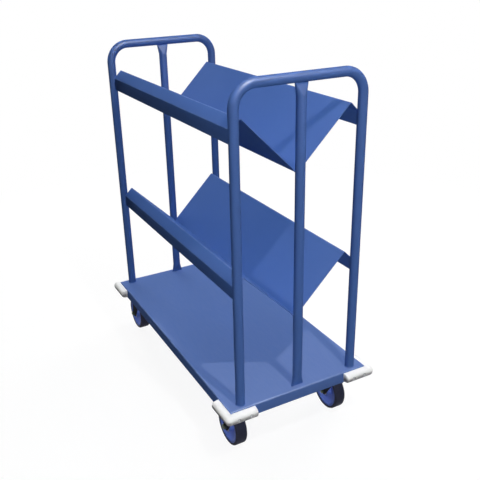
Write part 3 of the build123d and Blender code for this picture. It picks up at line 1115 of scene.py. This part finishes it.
@dataclass
class CornerBumper:
    """Moulded L with a round nose that wraps each corner of the deck, held by two tapping screws."""

    nose: float = 12 * MM
    corner: float = 14 * MM
    nose_strips: int = 10
    leg_end: float = 4 * MM
    end_strips: int = 5
    pocket_gap: float = 1 * MM
    pocket_depth: float = 6 * MM
    screw_spacing: float = 39 * MM
    screw_from_corner: float = 37.5 * MM
    head_height: float = 4 * MM
    head_dome: float = 2.2 * MM
    dome_steps: int = 7
    head_radius: float = 5.25 * MM
    shank_radius: float = 2.1 * MM
    core_radius: float = 1.75 * MM
    core_length: float = 5 * MM
    point_length: float = 5 * MM
    recess_half: float = 2.9 * MM
    recess_width: float = 0.55 * MM
    recess_depth: float = 1.8 * MM
    screw_sides: int = 32
    edge: float = 0.4 * MM
    edge_angle: float = 50.0

    def __post_init__(self) -> None:
        """Takes the bumper's size and place from the frame."""
        self.low, self.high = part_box("bumper_front_left")
        self.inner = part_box("deck_tray")[1]

    def build(self) -> None:
        """Builds the bumpers and their screws at every corner."""
        bumper = self.build_bumper()
        screw = self.build_screw()
        outwards = Matrix.Rotation(pi / 2, 4, "Y")
        screws = []
        for end, side in CORNERS:
            word = corner_word(end, side)
            mirror = Matrix.Diagonal((end.value, side.value, 1, 1))
            bumper.copy(mirror).install(f"corner_{word}", WHITE_RUBBER, nodes=[f"bumper_{word}"])
            for place in self.screw_places():
                screws.append(screw.copy(mirror @ Matrix.Translation(place) @ outwards))
        bumper.discard()
        screw.discard()
        Piece.joined(screws).install("tapping_screws", ZINC, nodes=["bumper_screws"])

    def screw_places(self) -> list[Point]:
        """Places of the two screws of the front left corner, on the face of the skirt."""
        level, first = (self.low.z + self.high.z) / 2, self.high.y - self.screw_from_corner
        return [(self.inner.x, first - step * self.screw_spacing, level) for step in range(2)]

    def build_bumper(self) -> Piece:
        """Builds the bumper of the front left corner.

        Returns:
            The bumper.
        """
        low, high, inner = self.low, self.high, self.inner
        bumper = Piece.cube((inner.x, inner.y, low.z), high)
        bumper.pick(Element.FACE, on(x=inner.x)).extrude(x=low.x - inner.x)
        bumper.pick(Element.FACE, lambda p: near(p.y, inner.y) and p.x > inner.x - NEAR)
        bumper.extrude(y=low.y - inner.y).close_up()
        bumper.pick(Element.EDGE, on(x=high.x, y=high.y)).round(self.corner, self.nose_strips)
        for level in (low.z, high.z):
            bumper.pick(Element.EDGE, lambda p: near(p.z, level) and self.on_outside(p))
            bumper.round(self.nose, self.nose_strips)
        for leg, wall in ((0, 1), (1, 0)):
            bumper.pick(Element.EDGE, lambda p: near(p[leg], low[leg]) and p[wall] > inner[wall] + self.edge)
            bumper.round(self.leg_end, self.end_strips)
        for _, y, z in self.screw_places():
            seat, outside = (high.x - self.pocket_depth, y, z), (high.x + self.pocket_depth, y, z)
            pocket = Piece.rod(seat, outside, self.head_radius + self.pocket_gap, self.screw_sides)
            bumper.combine(pocket, Meeting.CUT)
        return bumper.soften(self.edge, angle=self.edge_angle)

    def on_outside(self, point: Vector) -> bool:
        """Whether a point is on the outside wall of the bumper.

        Args:
            point: Point to test.

        Returns:
            True on the two straight runs and on the round corner.
        """
        if near(point.x, self.high.x) or near(point.y, self.high.y):
            return True
        arm = (point.x - self.high.x + self.corner, point.y - self.high.y + self.corner)
        return min(arm) > 0 and abs(hypot(*arm) - self.corner) < self.edge

    def build_screw(self) -> Piece:
        """Builds one screw along +Z, with the skirt's face at the origin.

        Returns:
            The screw.
        """
        seat = self.high.x - self.inner.x - self.pocket_depth
        top = seat + self.head_height
        sphere = (self.head_radius ** 2 + self.head_dome ** 2) / (2 * self.head_dome)
        spread = degrees(atan2(self.head_radius, sphere - self.head_dome))
        dome = arc((0.0, top - sphere), sphere, 90 - spread, 90, self.dome_steps)
        outline = [
            (0.0, -self.core_length - self.point_length),
            (self.core_radius, -self.core_length),
            (self.core_radius, 0.0),
            (self.shank_radius, 0.0),
            (self.shank_radius, seat),
            (self.head_radius, seat),
        ]
        screw = Piece.turned(outline + dome, self.screw_sides)
        half, width, depth = self.recess_half, self.recess_width, self.recess_depth
        for x, y in ((half, width), (width, half)):
            screw.combine(Piece.cube((-x, -y, top - depth), (x, y, top + depth)), Meeting.CUT)
        return screw


@dataclass(frozen=True)
class HexFastener:
    """Hexagon nut and bolt of one size, along +Z from their seat."""

    across_flats: float
    thread: float
    pitch: float
    face_share: float = 0.475
    chamfer: float = 30.0
    thread_depth: float = 0.6
    sides: int = 24
    lathe_sides: int = 96

    def hexagon(self, height: float, both_ends: bool) -> Piece:
        """Builds a hexagon with its corners turned off in a lathe.

        Args:
            height: Height of the hexagon.
            both_ends: Whether the seat end is chamfered as well.

        Returns:
            The hexagon.
        """
        corner = self.across_flats / 3 ** 0.5
        flat = self.face_share * self.across_flats
        drop = (corner - flat) * tan(radians(self.chamfer))
        low = drop if both_ends else 0.0
        blank = Piece.rod((0, 0, 0), (0, 0, height), corner, 6)
        outline = [(0, 0), (flat if both_ends else corner, 0), (corner, low), (corner, height - drop)]
        lathe = Piece.turned([*outline, (flat, height), (0, height)], self.lathe_sides)
        return blank.combine(lathe, Meeting.COMMON)

    def shank(self, start: float, stop: float) -> Piece:
        """Builds a threaded shank, with one ridge for each turn of its thread.

        Args:
            start: Height of its lower end.
            stop: Height of its upper end.

        Returns:
            The shank.
        """
        crest, root = self.thread / 2, self.thread / 2 - self.thread_depth * self.pitch
        turns = round((stop - start) / self.pitch)
        step = (stop - start) / turns
        outline = [(0.0, start), (root, start)]
        for turn in range(turns):
            outline += [(crest, start + (turn + 0.5) * step), (root, start + (turn + 1) * step)]
        return Piece.turned([*outline, (0.0, stop)], self.sides)

    def nut(self, height: float) -> Piece:
        """Builds a nut of a height with its hole."""
        hole = Piece.rod((0, 0, -height), (0, 0, 2 * height), self.thread / 2, self.sides)
        return self.hexagon(height, True).combine(hole, Meeting.CUT)

    def bolt(self, head: float, length: float) -> Piece:
        """Builds a bolt whose head stands on the seat and whose shank goes below it."""
        return Piece.joined([self.hexagon(head, False), self.shank(-length, 0.0)])


@dataclass
class SwivelCaster:
    """Swivel caster, modelled about its king pin and set at each corner, with the bolts of its plate."""

    foot_radius: float = 14 * MM
    foot_steps: int = 16
    fork_front: float = 27 * MM
    fork_rear: float = 38 * MM
    fork_shoulder: float = 12 * MM
    fork_gap: float = 3 * MM
    fork_sheet: float = 3 * MM
    fork_bend: float = 8 * MM
    bend_strips: int = 6
    crown_radius: float = 37 * MM
    crown_thickness: float = 4 * MM
    rim_height: float = 13.5 * MM
    rim_inner: float = 23.5 * MM
    rim_wall: float = 4 * MM
    plate_corner: float = 10 * MM
    plate_thickness: float = 4 * MM
    boss_radius: float = 23 * MM
    round_sides: int = 64
    tread_thickness: float = 8 * MM
    tread_shoulder: float = 5 * MM
    shoulder_steps: int = 8
    rim_setback: float = 1.5 * MM
    rim_band: float = 6 * MM
    web: float = 11 * MM
    dish_sag: float = 2.5 * MM
    dish_steps: int = 12
    hub_radius: float = 20 * MM
    hub_bore: float = 15 * MM
    wheel_steps: int = 72
    axle: HexFastener = HexFastener(16 * MM, 10 * MM, 1.5 * MM)
    axle_head: float = 6.4 * MM
    axle_nut: float = 8 * MM
    bolt: HexFastener = HexFastener(13 * MM, 8 * MM, 1.25 * MM)
    bolt_head: float = 5.3 * MM
    bolt_spacing: tuple[float, float] = (80 * MM, 60 * MM)
    edge: float = 0.6 * MM
    wheel_edge_strips: int = 3

    def __post_init__(self) -> None:
        """Takes the caster's places from its front left copy in the frame."""
        pin = self.king_pin(End.FRONT, Side.LEFT)
        parts = ("fork", "caster_plate", "wheel_tread", "wheel_rim", "axle_bolt")
        self.boxes = {part: [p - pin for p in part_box(f"{part}_front_left")] for part in parts}
        low, high = self.boxes["wheel_tread"]
        self.hub = (low + high) / 2
        self.wheel_radius = (high.z - low.z) / 2
        self.tread_half = (high.y - low.y) / 2
        self.fork_half = self.tread_half + self.fork_gap + self.fork_sheet
        self.crown_top = self.boxes["fork"][1].z - self.rim_height

    @staticmethod
    def king_pin(end: End, side: Side) -> Vector:
        """Place of a corner's king pin on the floor."""
        low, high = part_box(f"king_pin_{corner_word(end, side)}")
        return Vector(((low.x + high.x) / 2, (low.y + high.y) / 2, 0.0))

    def build(self) -> None:
        """Builds each piece once and sets a copy of it at every corner."""
        across = Matrix.Translation(self.hub) @ Matrix.Rotation(-pi / 2, 4, "X")
        head_seat = Matrix.Translation((0, 0, self.fork_half))
        nut_seat = Matrix.Translation((0, 0, -self.fork_half - self.axle_nut))
        length = self.boxes["axle_bolt"][1].y - self.boxes["axle_bolt"][0].y - self.axle_head
        pieces = [
            ("wheel_tread", self.build_tread(), across, TREAD_BLACK, "wheel"),
            ("wheel_rim", self.build_rim(), across, WHEEL_BLUE, "wheel"),
            ("fork", self.build_fork(), Matrix(), DARK_PAINT, "caster"),
            ("caster_plate", self.build_plate(), Matrix(), DARK_PAINT, CART),
            ("axle_bolt", self.axle.bolt(self.axle_head, length), across @ head_seat, DARK_STEEL, "caster"),
            ("axle_nut", self.axle.nut(self.axle_nut), across @ nut_seat, DARK_STEEL, "caster"),
        ]
        for end, side in CORNERS:
            word = corner_word(end, side)
            corner = Matrix.Translation(self.king_pin(end, side))
            for part, piece, placing, finish, body in pieces:
                rides = body if body == CART else f"{body}_{word}"
                piece.copy(corner @ placing).install(f"{part}_{word}_skin", finish, rides, [f"{part}_{word}"])
        for _, piece, _, _, _ in pieces:
            piece.discard()
        self.build_plate_bolts()

    def build_plate_bolts(self) -> None:
        """Builds the bolts that hold every plate, heads down."""
        low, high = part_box("caster_bolts")
        seat = low.z + self.bolt_head
        bolt = self.bolt.bolt(self.bolt_head, high.z - seat)
        head_down = Matrix.Rotation(pi, 4, "X")
        half_x, half_y = (spacing / 2 for spacing in self.bolt_spacing)
        bolts = []
        for end, side in CORNERS:
            for x, y in ((-half_x, -half_y), (-half_x, half_y), (half_x, -half_y), (half_x, half_y)):
                place = self.king_pin(end, side) + Vector((x, y, seat))
                bolts.append(bolt.copy(Matrix.Translation(place) @ head_down))
        bolt.discard()
        Piece.joined(bolts).install("plate_bolts", ZINC, nodes=["caster_bolts"])

    def build_tread(self) -> Piece:
        """Builds the tread along Z, a band with round shoulders.

        Returns:
            The tread.
        """
        outer, inner = self.wheel_radius, self.wheel_radius - self.tread_thickness
        half, shoulder = self.tread_half, self.tread_shoulder
        lower = arc((outer - shoulder, shoulder - half), shoulder, -90, 0, self.shoulder_steps)
        upper = arc((outer - shoulder, half - shoulder), shoulder, 0, 90, self.shoulder_steps)
        return Piece.turned([(inner, -half), *lower, *upper, (inner, half), (inner, -half)], self.wheel_steps)

    def build_rim(self) -> Piece:
        """Builds the wheel centre along Z, dished on both sides between its hub and its rim.

        Returns:
            The wheel centre.
        """
        low, high = self.boxes["wheel_rim"]
        hub_half, web_half = (high.y - low.y) / 2, self.web / 2
        outer = self.wheel_radius - self.tread_thickness
        rim_half, rim_inner = self.tread_half - self.rim_setback, outer - self.rim_band
        dish = []
        for i in range(self.dish_steps + 1):
            share = i / self.dish_steps
            radius = self.hub_radius + (rim_inner - self.hub_radius) * share
            # A parabola, deepest halfway between hub and rim.
            sag = 4 * self.dish_sag * share * (1 - share)
            dish.append((radius, web_half + (rim_half - web_half) * share - sag))
        upper = [(self.hub_bore, hub_half), (self.hub_radius, hub_half), *dish, (outer, rim_half)]
        lower = [(radius, -height) for radius, height in reversed(upper)]
        rim = Piece.turned([*upper, *lower, upper[0]], self.wheel_steps)
        return rim.soften(self.edge, self.wheel_edge_strips)

    def build_fork(self) -> Piece:
        """Builds the pressed fork with its crown and dust rim.

        Returns:
            The fork.
        """
        half, top, sides = self.fork_half, self.crown_top, self.round_sides
        fork = Piece.line((x, -half, z) for x, z in self.fork_outline())
        fork.pick_all().fill().extrude(y=2 * half).close_up()
        fork.pick_facing(lambda n: max(abs(n.y), n.z) < SQUARE).delete_faces()
        for y in (-half, half):
            fork.pick(Element.EDGE, on(y=y, z=top)).round(self.fork_bend, self.bend_strips)
        fork.thicken(self.fork_sheet)
        crown = Piece.rod((0, 0, top - self.crown_thickness), (0, 0, top), self.crown_radius, sides)
        fork.combine(crown, Meeting.UNION)
        lap, outer = top - self.crown_thickness / 2, self.rim_inner + self.rim_wall
        rim = Piece.rod((0, 0, lap), (0, 0, top + self.rim_height), outer, sides)
        hollow = Piece.rod((0, 0, top), (0, 0, top + 2 * self.rim_height), self.rim_inner, sides)
        fork.combine(rim.combine(hollow, Meeting.CUT), Meeting.UNION)
        return fork.soften(self.edge)

    def fork_outline(self) -> list[tuple[float, float]]:
        """Side view of the fork: a shoulder drawn in by two tangents to the round foot at the axle.

        Returns:
            Its points along X and Z.
        """
        hub = (self.hub.x, self.hub.z)
        shoulder = self.crown_top - self.fork_shoulder
        tangents = []
        for x, sign in ((-self.fork_rear, 1), (self.fork_front, -1)):
            arm = (x - hub[0], shoulder - hub[1])
            tangents.append(degrees(atan2(arm[1], arm[0]) + sign * acos(self.foot_radius / hypot(*arm))))
        foot = arc(hub, self.foot_radius, tangents[0], tangents[1] + 360, self.foot_steps)
        front, rear, top = self.fork_front, -self.fork_rear, self.crown_top
        return [*foot, (front, shoulder), (front, top), (rear, top), (rear, shoulder)]

    def build_plate(self) -> Piece:
        """Builds the top plate with the race pressed under it.

        Returns:
            The plate.
        """
        low, high = self.boxes["caster_plate"]
        plate = Piece.cube((low.x, low.y, high.z - self.plate_thickness), high)
        for x in (low.x, high.x):
            for y in (low.y, high.y):
                plate.pick(Element.EDGE, on(x=x, y=y)).round(self.plate_corner, self.bend_strips)
        lap = high.z - self.plate_thickness / 2
        boss = Piece.rod((0, 0, low.z), (0, 0, lap), self.boss_radius, self.round_sides)
        return plate.combine(boss, Meeting.UNION).soften(self.edge)


@dataclass(frozen=True)
class Lamp:
    """Round lamp aimed at the middle of the cart, which either lights it or only shows in its gloss."""

    name: str
    azimuth: float
    elevation: float
    watts: float
    distance: float = 4.5
    size: float = 2.5
    only_gloss: bool = False
    shadow: bool = True
    aim: Point = (0.0, 0.0, 0.5)

    def build(self) -> None:
        """Hangs the lamp, with azimuth 0 before the front end and 90 at the left side."""
        azimuth, elevation = radians(self.azimuth), radians(self.elevation)
        way = Vector((cos(azimuth) * cos(elevation), sin(azimuth) * cos(elevation), sin(elevation)))
        data = bpy.data.lights.new(self.name, "AREA")
        data.shape = "DISK"
        data.size = self.size
        data.energy = self.watts
        data.use_shadow = self.shadow
        lamp = bpy.data.objects.new(self.name, data)
        lamp.location = Vector(self.aim) + way * self.distance
        lamp.rotation_euler = way.to_track_quat("Z", "Y").to_euler()
        lamp.visible_diffuse = not self.only_gloss
        lamp.visible_glossy = self.only_gloss
        bpy.context.scene.collection.objects.link(lamp)


# Kinds of ray that see or mirror the floor and the sky, which look white to them.
SEEING_RAYS = ("Camera", "Glossy", "Transmission")


@dataclass(frozen=True)
class Studio:
    """Floor, lights, world and the camera of the reference view."""

    camera_place: Point = (1.8078, -0.9003, 1.3654)
    camera_heading: float = 62.131
    camera_tilt: float = 66.527
    camera_roll: float = -1.349
    lens: float = 49.75
    sensor: float = 36.0
    lamps: Sequence[Lamp] = (
        Lamp("key", 0.6, 54.2, 20, 3.475, 0.05),
        Lamp("key_glint", 0.6, 54.2, 1400, 3.475, 0.05, only_gloss=True),
        Lamp("top", 0, 90, 860, 12, shadow=False),
        Lamp("front", -14, 20, 50, 3.6, 0.8, shadow=False),
        Lamp("left", 115, 20, 65),
        Lamp("rear", 180, 20, 70),
    )
    sky: float = 0.01
    floor_size: float = 40.0
    floor_pale: float = 0.98
    floor_bounce: float = 0.15
    floor_glow: tuple[float, float] = (0.75, 1.0)
    floor_fade: tuple[float, float] = (0.8, 2.4)

    def build(self) -> None:
        """Builds the whole studio."""
        self.build_camera()
        self.build_world()
        for lamp in self.lamps:
            lamp.build()
        self.build_floor()
        bpy.context.scene.view_settings.view_transform = "Standard"

    def build_camera(self) -> None:
        """Sets the camera where the reference view was taken."""
        placing = Matrix.Translation(self.camera_place)
        for angle, axis in ((self.camera_heading, "Z"), (self.camera_tilt, "X"), (self.camera_roll, "Z")):
            placing = placing @ Matrix.Rotation(radians(angle), 4, axis)
        data = bpy.data.cameras.new("camera")
        data.lens = self.lens
        data.sensor_width = self.sensor
        camera = bpy.data.objects.new("camera", data)
        camera.matrix_world = placing
        bpy.context.scene.collection.objects.link(camera)
        bpy.context.scene.camera = camera

    @staticmethod
    def seen(tree: ShaderTree) -> Signal:
        """Mask of the rays that see or mirror a surface, as against those that light it."""
        rays = [tree.add("ShaderNodeLightPath", output=f"Is {ray} Ray") for ray in SEEING_RAYS]
        return rays[0] | rays[1] | rays[2]

    def build_world(self) -> None:
        """Makes a dim sky that is white wherever it is seen or mirrored."""
        world = bpy.data.worlds.new("sky")
        tree = ShaderTree(world, "ShaderNodeOutputWorld")
        white = tree.add("ShaderNodeBackground", {}, {"Color": grey(1.0), "Strength": 1.0})
        dim = tree.add("ShaderNodeBackground", {}, {"Color": grey(1.0), "Strength": self.sky})
        tree.show(tree.add("ShaderNodeMixShader", {}, {0: self.seen(tree), 1: dim, 2: white}))
        bpy.context.scene.world = world

    def build_floor(self) -> None:
        """Lays the pale floor, which fades to white away from the cart and throws little light back at it."""
        drop_everything()
        bpy.ops.mesh.primitive_plane_add(size=self.floor_size)
        floor = bpy.context.active_object
        floor.name = "floor"
        material = bpy.data.materials.new("floor")
        tree = ShaderTree(material, "ShaderNodeOutputMaterial")
        away = tree.add("ShaderNodeVectorMath", {"operation": "LENGTH"}, {0: tree.place()}, "Value")
        share = tree.fade(away, *self.floor_fade, *self.floor_glow)
        pale = tree.add("ShaderNodeBsdfDiffuse", {}, {"Color": grey(self.floor_pale)})
        glow = tree.add("ShaderNodeEmission", {}, {"Color": grey(1.0), "Strength": 1.0})
        looks = tree.add("ShaderNodeMixShader", {}, {0: share, 1: pale, 2: glow})
        dull = tree.add("ShaderNodeBsdfDiffuse", {}, {"Color": grey(self.floor_bounce)})
        tree.show(tree.add("ShaderNodeMixShader", {}, {0: self.seen(tree), 1: dull, 2: looks}))
        floor.data.materials.append(material)


def dress_nodes() -> None:
    """Gives the CAD nodes that stay in view their finishes."""
    finishes = {finish.slot.value: finish for finish in FINISHES}
    for row in frame["record"]["subparts"]:
        node = frame["nodes"][row["node"]]
        node.data.materials.clear()
        node.data.materials.append(finishes[row["material_slot"]].material())


def main() -> None:
    """Builds the cart's looks in order."""
    logging.basicConfig(level=logging.INFO, format="%(message)s")
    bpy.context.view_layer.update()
    dress_nodes()
    DeckTray().build()
    for end in End:
        EndFrame(end).build()
        CentrePost(end).build()
    for level in ("top", "lower"):
        VeeShelf(level).build()
    CornerBumper().build()
    SwivelCaster().build()
    Studio().build()
    drop_everything()


if __name__ == "__main__":
    main()
